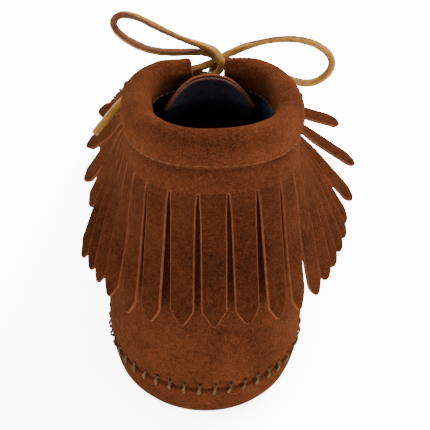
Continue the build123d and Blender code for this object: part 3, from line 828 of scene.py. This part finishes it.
def tongue_piece(name, depth0, depth1, trim):
    """y = front wall - gap - bend (x / half)^2, for x across and h from the foot to the arch."""
    x_share = np.linspace(-1, 1, 41)
    h0 = TONGUE_FOOT + (TONGUE_TOP - trim - TONGUE_FOOT) * np.linspace(0, 1, 60)[:, None]
    half_width = np.interp(h0, TONGUE_ROWS[:, 0], TONGUE_ROWS[:, 2]) - trim - 0.6
    x = x_share * half_width
    arch = TONGUE_TOP - trim - 0.7 - 13.0 * np.abs(x / TONGUE_HALF) ** 2.6
    h = TONGUE_FOOT + 0.7 + (arch - TONGUE_FOOT) * np.linspace(0, 1, 60)[:, None]
    gap, bend = (np.interp(h, TONGUE_ROWS[:, 0], TONGUE_ROWS[:, i]) for i in (1, 3))
    y = front_wall_y(h) - gap - (depth0 + depth1) / 2 - 9.0 * bend * (x / TONGUE_HALF) ** 2
    mid = np.stack([GAP_X + x, y, h], -1)
    n = unit(np.cross(np.gradient(mid, axis=1), np.gradient(mid, axis=0)))
    n = n * np.sign(n[..., 1:2])
    return sheet_piece(name, mid, n * (depth1 - depth0) / 2)


tongue = tongue_piece("tongue_suede", 0.0, 1.4, 0.0)
tongue_back = tongue_piece("tongue_pile_back", 1.55, 2.8, 0.8)
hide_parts("tongue")
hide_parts("tongue_lining")
for piece, slot in ((tongue, "suede"), (tongue_back, "pile_lining")):
    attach(piece, "tongue_flap")
print("tongue faces", len(tongue.data.polygons))

# %% [markdown]
# Thread is modelled, not painted, because it stands proud and catches the light. One function makes
# many short tubes at once: their centre lines are one array (stitch, station, 3), and a ring of points
# is set round every station. A whip stitch is two waxed plies that wind round each other and dive into
# an awl hole at each end.

# %% Many short tubes
def bundle(name, lines, radius, sides, out):
    """lines (n, stations, 3) and out (n, stations, 3), a direction roughly square to them."""
    along = unit(np.gradient(lines, axis=1))
    e1 = unit(out - along * np.sum(out * along, -1, keepdims=True))
    e2 = np.cross(along, e1)
    a = (np.arange(sides) + 0.5) / sides * TAU
    spokes = e1[:, :, None] * np.cos(a)[:, None] + e2[:, :, None] * np.sin(a)[:, None]
    rings = lines[:, :, None] + radius * spokes
    ends = rings.mean(axis=2, keepdims=True).repeat(sides, axis=2)
    rings = np.concatenate([ends[:, :1], rings, ends[:, -1:]], axis=1)
    count, stations = rings.shape[:2]
    faces = grid_faces(stations, sides, True)
    faces = faces[None] + (np.arange(count) * stations * sides)[:, None, None]
    return make_mesh(name, rings, faces.reshape(-1, 4))


# %% Whip stitches round the sole seam
def frame_at(t, v, d):
    """Point, outward direction and the direction up the wall."""
    n = unit(normal(t, v))
    up = unit(shell(t, v + 0.005, d) - shell(t, v - 0.005, d))
    return shell(t, v, d), n, up


def whip_lines():
    """Two plies per stitch. Height over the skin follows half an ellipse and ends below it."""
    s = (np.arange(STITCHES) + 0.5) / STITCHES * SEAM_S[-1]
    t = np.interp(s, SEAM_S, RING_T)
    p, n, up = frame_at(t, np.interp(t, RING_T, SEAM_V), D_OUT)
    across = np.cross(n, up)
    q = np.linspace(-1, 1, 11)[:, None]
    jitter = np.random.default_rng(11).uniform(-1, 1, (2, STITCHES))[..., None, None]
    lift = -0.75 + 1.5 * np.sqrt(np.clip(1 - (q / 1.04) ** 2, 0, 1))
    slant = (0.4 + 0.35 * jitter[0]) * q
    mid = p[:, None] + up[:, None] * q * (WHIP_HALF + 0.15 * jitter[1]) - across[:, None] * slant
    mid = mid + n[:, None] * lift
    turn = 2.4 * q + 0.6
    ply = across[:, None] * np.cos(turn) * 0.34 + n[:, None] * np.sin(turn) * 0.2
    lines = np.concatenate([mid + ply, mid - ply])
    ends = np.concatenate([mid[:, 0], mid[:, -1]])
    outward = np.concatenate([n, n])
    return lines, np.broadcast_to(outward[:, None], lines.shape), ends, outward


whip, whip_out, whip_ends, whip_n = whip_lines()
whip_thread = bundle("sole_seam_thread", whip, 0.36, 7, whip_out)


def hole_shade_piece(name, places, outward, radius, proud, deep=0.5):
    """Painted shade for the awl holes: short dark plugs that end just over the skin."""
    q = np.array([-deep, proud * 0.6, proud])[:, None]
    lines = places[:, None] + outward[:, None] * q
    side = np.cross(outward, np.array([0.3, 0.2, 0.93]))
    return bundle(name, lines, radius, 9, np.broadcast_to(side[:, None], lines.shape))


# painted shade: dark plugs at both ends of every whip stitch stand for the shade in the holes
whip_hole_shade = hole_shade_piece("sole_seam_hole_shade", whip_ends + whip_n * 0.62, whip_n, 0.42, 0.04, 0.4)
print("whip thread faces", len(whip_thread.data.polygons))

# %% Machine stitching on the collar and beside the join
FINE_PITCH, FINE_LEN = 3.6, 2.4


def machine_row(points, outward, sink=0.12):
    """Stitches along a path of (point, outward) by length: lines, their outward and the holes."""
    s = lengths(points)
    starts = np.arange(1.0, s[-1] - FINE_LEN, FINE_PITCH)
    q = np.linspace(0, 1, 6)
    at = starts[:, None] + FINE_LEN * q
    line = np.stack([np.interp(at, s, points[:, i]) for i in range(3)], -1)
    n = unit(np.stack([np.interp(at, s, outward[:, i]) for i in range(3)], -1))
    line = line + n * (0.34 * np.sin(np.pi * q) ** 0.6 - sink)[:, None]
    gap = starts[1:] - (FINE_PITCH - FINE_LEN) / 2
    place = np.stack([np.interp(gap, s, points[:, i]) for i in range(3)], -1)
    face = unit(np.stack([np.interp(gap, s, outward[:, i]) for i in range(3)], -1))
    return line, n, place, face


def collar_row(offset, side, height):
    s = np.linspace(ring_end(offset, -1, 2), ring_end(offset, 1, 2), 600)
    xy, n = along_ring(s, offset)
    return raised(xy, top_z(xy[:, 1]) + height), raised(n * side, 0.12 + 0 * s)


def join_row(side):
    """The line 3 mm behind the join, from beside the opening down to the sole seam."""
    t = np.linspace(0.488, 0.24, 200) * side
    v = level_where(t, lambda p: -ahead(p) - 3.0, D_OUT)
    p = shell(t, v, D_OUT + 0.45)
    keep = (p[:, 2] > seam_z(p[:, 1]) + 3.5) & (np.abs(p[:, 0] - GAP_X) > 5.5)
    return p[keep], normal(t, v)[keep]


def stitching(name, rows, radius):
    parts = [machine_row(*row) for row in rows]
    line, n, place, face = (np.concatenate([p[i] for p in parts]) for i in range(4))
    # painted shade: dark plugs between the stitches stand for the shade in the needle holes
    return bundle(name, line, radius, 6, n), hole_shade_piece(name + "_hole_shade", place, face, 0.34, 0.10)


collar_thread, collar_hole_shade = stitching(
    "collar_topstitch", [collar_row(5.95, 1, 1.5), collar_row(-2.75, -1, 1.6)], 0.24)
join_thread, join_hole_shade = stitching("vamp_join_stitch", [join_row(1), join_row(-1)], 0.24)
print("collar stitches", len(collar_thread.data.polygons) // 42)

# %% [markdown]
# Each piece now stands for its CAD node and rides on the boot. The outsole and the hidden run of lace
# inside the tunnel already have their true shape, so those CAD nodes stay and only get a finish.

# %% Riding on the boot
STANDS_FOR = [(wrap, "bottom_wrap", "suede"), (vamp, "vamp_plug", "suede"),
              (quarter, "heel_quarter", "suede"), (lining, "boot_lining", "pile_lining"),
              (insole, "footbed", "pile_lining"), (collar, "cuff_tunnel", "suede"),
              (band, "fringe_band", "suede"), (whip_thread, "sole_whip_stitches", "whip_thread"),
              (collar_thread, "cuff_topstitch", "fine_thread"),
              (join_thread, "vamp_seam_stitches", "fine_thread")]
for piece, node, slot in STANDS_FOR:
    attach(piece, "boot")
    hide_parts(node)
for piece in (whip_hole_shade, collar_hole_shade, join_hole_shade):
    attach(piece, "boot")
print(len(STANDS_FOR), "pieces ride on the boot")

# %% [markdown]
# Suede is the flesh side of the hide, brushed to a nap. Where fingers have stroked it one way it looks
# light, and the other way dark; the fibres scatter light at grazing angles, which is what Sheen does;
# and the cut edges show paler, raw fibres. The nap is a node group, because the lace and the tongue
# use it with other colours. It puts out a colour and a height.

# %% Material helpers
def new_material(name, roughness, **sockets):
    """A Principled material with plain values on its own sockets."""
    material = bpy.data.materials.new(name)
    material.use_nodes = True
    shader = material.node_tree.nodes["Principled BSDF"]
    shader.inputs["Roughness"].default_value = roughness
    for socket, value in sockets.items():
        shader.inputs[socket.replace("_", " ")].default_value = value
    return material, material.node_tree, shader


def add(tree, kind, settings=None, **values):
    """A node with its properties from settings and its input sockets from values."""
    node = tree.nodes.new(kind)
    for key, value in (settings or {}).items():
        setattr(node, key, value)
    for key, value in values.items():
        node.inputs[key.replace("_", " ")].default_value = value
    return node


def wire(tree, *pairs):
    for source, target in pairs:
        tree.links.new(source, target)


def mix_colours(tree, factor, first, second, mode="MIX"):
    """first and second are sockets or colours."""
    node = add(tree, "ShaderNodeMix", {"data_type": "RGBA", "blend_type": mode})
    for value, socket in ((factor, node.inputs[0]), (first, node.inputs[6]), (second, node.inputs[7])):
        if isinstance(value, bpy.types.NodeSocket):
            tree.links.new(value, socket)
        else:
            socket.default_value = value
    return node.outputs[2]


def remap(tree, value, low, high, to_low=0.0, to_high=1.0):
    node = add(tree, "ShaderNodeMapRange", From_Min=low, From_Max=high, To_Min=to_low, To_Max=to_high)
    tree.links.new(value, node.inputs["Value"])
    return node.outputs["Result"]


def arithmetic(tree, operation, first, second):
    node = add(tree, "ShaderNodeMath", {"operation": operation})
    for value, socket in ((first, node.inputs[0]), (second, node.inputs[1])):
        if isinstance(value, bpy.types.NodeSocket):
            tree.links.new(value, socket)
        else:
            socket.default_value = value
    return node.outputs[0]


# %% Nap group
def nap_group():
    """Colour: brushed patches, mottling and single fibres. Height: the same fibres, for a bump."""
    group = bpy.data.node_groups.new("suede_nap", "ShaderNodeTree")
    sides = {"Dark": "NodeSocketColor", "Light": "NodeSocketColor", "Raw Edge": "NodeSocketColor",
             "Edge Mask": "NodeSocketFloat"}
    for name, kind in sides.items():
        group.interface.new_socket(name, in_out="INPUT", socket_type=kind)
    for name, kind in (("Colour", "NodeSocketColor"), ("Height", "NodeSocketFloat")):
        group.interface.new_socket(name, in_out="OUTPUT", socket_type=kind)
    given, out = add(group, "NodeGroupInput"), add(group, "NodeGroupOutput")
    place = add(group, "ShaderNodeTexCoord").outputs["Object"]
    layers = {}
    for name, scale, detail, stretch in (("patch", 38.0, 3.0, 0.6), ("mottle", 520.0, 2.0, 0.1),
                                         ("fibre", 1700.0, 2.0, 0.0), ("speck", 700.0, 2.0, 0.4)):
        noise = add(group, "ShaderNodeTexNoise", Scale=scale, Detail=detail, Roughness=0.6,
                    Distortion=stretch)
        wire(group, (place, noise.inputs["Vector"]))
        layers[name] = noise.outputs["Fac"]
    brushed = remap(group, layers["patch"], 0.34, 0.66)
    mottled = remap(group, layers["mottle"], 0.36, 0.64)
    fibres = remap(group, layers["fibre"], 0.38, 0.62)
    tone = arithmetic(group, "MULTIPLY", brushed, 0.30)
    tone = arithmetic(group, "ADD", tone, arithmetic(group, "MULTIPLY", mottled, 0.20))
    tone = arithmetic(group, "ADD", tone, arithmetic(group, "MULTIPLY", fibres, 0.50))
    nap = mix_colours(group, tone, given.outputs["Dark"], given.outputs["Light"])
    worn = arithmetic(group, "MULTIPLY", given.outputs["Edge Mask"],
                      remap(group, layers["speck"], 0.25, 0.6, 0.35, 0.95))
    colour = mix_colours(group, worn, nap, given.outputs["Raw Edge"])
    height = arithmetic(group, "ADD", arithmetic(group, "MULTIPLY", fibres, 0.6),
                        arithmetic(group, "MULTIPLY", mottled, 0.4))
    wire(group, (colour, out.inputs["Colour"]), (height, out.inputs["Height"]))
    return group


NAP = nap_group()


def use_nap(tree, shader, dark, light, raw, mask=None, depth=0.0004, strength=0.5):
    """Places the nap group, feeds its height to a bump, and returns the group node."""
    nap = add(tree, "ShaderNodeGroup", {"node_tree": NAP}, Dark=dark, Light=light, Raw_Edge=raw)
    if mask is not None:
        tree.links.new(mask, nap.inputs["Edge Mask"])
    bump = add(tree, "ShaderNodeBump", Strength=strength, Distance=depth)
    wire(tree, (nap.outputs["Height"], bump.inputs["Height"]),
         (bump.outputs["Normal"], shader.inputs["Normal"]))
    return nap


def attribute(tree, name):
    return add(tree, "ShaderNodeAttribute", {"attribute_name": name}).outputs["Fac"]


# %% Suede, in two shades
def suede(name, dark, light, raw, sheen):
    material, tree, shader = new_material(name, 0.95, Sheen_Weight=sheen, Sheen_Roughness=0.45,
                                          Sheen_Tint=(1.0, 0.5, 0.22, 1), Specular_IOR_Level=0.0)
    nap = use_nap(tree, shader, dark, light, raw, attribute(tree, "cut_edge"))
    wire(tree, (nap.outputs["Colour"], shader.inputs["Base Color"]))
    return material


RUST_DARK, RUST_LIGHT = (0.0068, 0.0017, 0.0008, 1), (0.040, 0.0110, 0.0041, 1)
FRINGE_DARK, FRINGE_LIGHT = (0.0050, 0.0013, 0.0006, 1), (0.030, 0.0082, 0.0031, 1)
RUST_RAW = (0.058, 0.0180, 0.0078, 1)
SUEDE_SHEEN = 0.012
boot_suede = suede("boot_suede", RUST_DARK, RUST_LIGHT, RUST_RAW, SUEDE_SHEEN)
fringe_suede = suede("fringe_suede", FRINGE_DARK, FRINGE_LIGHT, RUST_RAW, SUEDE_SHEEN)
for piece in (wrap, vamp, quarter, collar, band, tongue):
    piece.data.materials.append(boot_suede)
for piece in strands:
    piece.data.materials.append(fringe_suede)
print("suede on", 6 + len(strands), "pieces")

# %% [markdown]
# The lace shows two sides of one hide. The attribute written on its mesh says how far each point is
# on the golden flesh side; a little noise frays the border between the two.

# %% Lace
def lace_material():
    material, tree, shader = new_material("lace_thong", 0.85, Sheen_Weight=0.02, Sheen_Roughness=0.5,
                                          Specular_IOR_Level=0.08)
    raw = (0.3, 0.17, 0.05, 1)
    nap = add(tree, "ShaderNodeGroup", {"node_tree": NAP}, Dark=(0.016, 0.0042, 0.0013, 1),
              Light=(0.072, 0.023, 0.0068, 1), Raw_Edge=raw)
    flesh = use_nap(tree, shader, (0.05, 0.020, 0.003, 1), (0.15, 0.070, 0.012, 1), raw,
                    depth=0.0003, strength=0.4)
    fray = add(tree, "ShaderNodeTexNoise", Scale=900.0, Detail=3.0)
    wire(tree, (add(tree, "ShaderNodeTexCoord").outputs["Object"], fray.inputs["Vector"]))
    frayed = remap(tree, fray.outputs["Fac"], 0.3, 0.7, -0.3, 0.3)
    border = arithmetic(tree, "ADD", attribute(tree, "flesh"), frayed)
    mask = remap(tree, border, 0.35, 0.65)
    colour = mix_colours(tree, mask, nap.outputs["Colour"], flesh.outputs["Colour"])
    wire(tree, (colour, shader.inputs["Base Color"]))
    return material


LACE = lace_material()
left_lace.data.materials.append(LACE)
right_lace.data.materials.append(LACE)

# %% [markdown]
# Pile swallows light: nearly black, very rough, with a weak cool sheen from the tips of the fibres.
# The rim of the tongue's back is bound in suede, so that piece gets its own material, which mixes
# pile and suede colours by the edge mask.

# %% Pile lining
def pile(name, bound):
    material, tree, shader = new_material(name, 0.98, Sheen_Weight=0.06, Sheen_Roughness=0.6,
                                          Sheen_Tint=(0.55, 0.6, 0.9, 1), Specular_IOR_Level=0.05)
    place = add(tree, "ShaderNodeTexCoord").outputs["Object"]
    tufts = add(tree, "ShaderNodeTexVoronoi", {"feature": "F1"}, Scale=900.0, Randomness=1.0)
    clumps = add(tree, "ShaderNodeTexNoise", Scale=160.0, Detail=4.0, Distortion=0.6)
    wire(tree, (place, tufts.inputs["Vector"]), (place, clumps.inputs["Vector"]))
    tone = arithmetic(tree, "MULTIPLY", remap(tree, tufts.outputs["Distance"], 0.0, 0.9, 1.0, 0.2),
                      remap(tree, clumps.outputs["Fac"], 0.3, 0.7, 0.3, 1.0))
    colour = mix_colours(tree, tone, (0.003, 0.0028, 0.0035, 1), (0.022, 0.019, 0.022, 1))
    if bound:
        nap = use_nap(tree, shader, RUST_DARK, RUST_LIGHT, RUST_RAW, None)
        colour = mix_colours(tree, attribute(tree, "cut_edge"), colour, nap.outputs["Colour"])
    else:
        bump = add(tree, "ShaderNodeBump", Strength=0.9, Distance=0.0008)
        wire(tree, (tone, bump.inputs["Height"]), (bump.outputs["Normal"], shader.inputs["Normal"]))
    wire(tree, (colour, shader.inputs["Base Color"]))
    return material


PILE = pile("black_pile", False)
lining.data.materials.append(PILE)
insole.data.materials.append(PILE)
tongue_back.data.materials.append(pile("bound_pile", True))

# %% [markdown]
# Waxed thread has fine fibres along it and picks up dirt unevenly. The awl holes are painted shade:
# near-black plugs stand for the shade inside each hole. The outsole is thin dark crepe, with a fine crinkle.

# %% Thread, holes and outsole
def thread(name, dark, light, roughness):
    material, tree, shader = new_material(name, roughness, Specular_IOR_Level=0.04)
    noise = add(tree, "ShaderNodeTexNoise", Scale=1300.0, Detail=4.0, Distortion=0.5)
    patches = add(tree, "ShaderNodeTexNoise", Scale=90.0, Detail=2.0)
    place = add(tree, "ShaderNodeTexCoord").outputs["Object"]
    wire(tree, (place, noise.inputs["Vector"]), (place, patches.inputs["Vector"]))
    tone = arithmetic(tree, "MULTIPLY", remap(tree, noise.outputs["Fac"], 0.3, 0.7, 0.25, 1.0),
                      remap(tree, patches.outputs["Fac"], 0.3, 0.7, 0.6, 1.0))
    bump = add(tree, "ShaderNodeBump", Strength=0.6, Distance=0.0002)
    wire(tree, (mix_colours(tree, tone, dark, light), shader.inputs["Base Color"]),
         (noise.outputs["Fac"], bump.inputs["Height"]), (bump.outputs["Normal"], shader.inputs["Normal"]))
    return material


WAXED = thread("waxed_thread", (0.010, 0.0050, 0.0015, 1), (0.050, 0.0265, 0.0085, 1), 0.9)
whip_thread.data.materials.append(WAXED)
FINE = thread("fine_thread", (0.012, 0.0048, 0.0020, 1), (0.070, 0.030, 0.0125, 1), 0.9)
collar_thread.data.materials.append(FINE)
join_thread.data.materials.append(FINE)
# painted shade: this near-black colour stands for the shade inside the awl holes
HOLE_SHADE = thread("awl_hole_shade", (0.003, 0.0014, 0.0008, 1), (0.010, 0.004, 0.0018, 1), 0.95)
for piece in (whip_hole_shade, collar_hole_shade, join_hole_shade):
    piece.data.materials.append(HOLE_SHADE)


def crepe_sole():
    material, tree, shader = new_material("crepe_sole", 0.75, Specular_IOR_Level=0.35)
    crinkle = add(tree, "ShaderNodeTexVoronoi", {"feature": "DISTANCE_TO_EDGE"}, Scale=420.0)
    dust = add(tree, "ShaderNodeTexNoise", Scale=60.0, Detail=5.0)
    place = add(tree, "ShaderNodeTexCoord").outputs["Object"]
    wire(tree, (place, crinkle.inputs["Vector"]), (place, dust.inputs["Vector"]))
    tone = remap(tree, dust.outputs["Fac"], 0.35, 0.7)
    bump = add(tree, "ShaderNodeBump", Strength=0.7, Distance=0.0004)
    colour = mix_colours(tree, tone, (0.018, 0.011, 0.008, 1), (0.05, 0.033, 0.024, 1))
    wire(tree, (colour, shader.inputs["Base Color"]), (crinkle.outputs["Distance"], bump.inputs["Height"]),
         (bump.outputs["Normal"], shader.inputs["Normal"]))
    return material


def refinish(node, material):
    """A CAD node keeps its mesh and gets this material in every slot."""
    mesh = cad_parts[node].data
    mesh.materials.clear()
    mesh.materials.append(material)


refinish("outsole", crepe_sole())
refinish("lace_tunnel_run", LACE)
print("materials:", len(bpy.data.materials))

# %% [markdown]
# A plain pale floor and large soft lights, as in a product studio. The strongest light hangs over the
# toe on the right, so the collar's rim and the fringe at the sides are lit and the heel is in
# gentle shade.

# %% Floor and light
def floor():
    """A wide disc of near-white paper, as rings round the middle. It glows a little, like a light table."""
    a = np.arange(64) / 64 * TAU
    r = np.array([0.0, 400.0, 1200.0, 3000.0])[:, None]
    points = np.stack([r * np.cos(a), r * np.sin(a), -0.05 + 0 * r * a], -1)
    disc = make_mesh("studio_floor", points, grid_faces(4, 64, True))
    material, tree, shader = new_material("pale_paper", 0.9, Specular_IOR_Level=0.0)
    shader.inputs["Base Color"].default_value = (0.93, 0.93, 0.93, 1)
    shader.inputs["Emission Color"].default_value = (1, 1, 1, 1)
    shader.inputs["Emission Strength"].default_value = 7.0
    disc.data.materials.append(material)
    return disc


def soft_light(name, azimuth, elevation, distance, size, power, colour=(1, 1, 1)):
    """An area light that faces the boot's middle."""
    data = bpy.data.lights.new(name, "AREA")
    data.shape = "DISK"
    data.size, data.energy, data.color = size, power, colour
    lamp = bpy.data.objects.new(name, data)
    bpy.context.scene.collection.objects.link(lamp)
    back = direction(azimuth, elevation)
    lamp.location = Vector((0, -0.04, 0.06)) + back * distance
    lamp.rotation_mode = "QUATERNION"
    lamp.rotation_quaternion = back.to_track_quat("Z", "Y")
    return lamp


studio_floor = floor()
soft_light("key", 120, 52, 0.9, 0.5, 48.0)
soft_light("left", -110, 45, 1.0, 0.6, 13.0)
soft_light("top", 0, 88, 1.0, 0.9, 16.0)
world = bpy.data.worlds.new("studio")
bpy.context.scene.world = world
world.use_nodes = True
world.node_tree.nodes["Background"].inputs["Color"].default_value = (1, 1, 1, 1)
world.node_tree.nodes["Background"].inputs["Strength"].default_value = 1.7
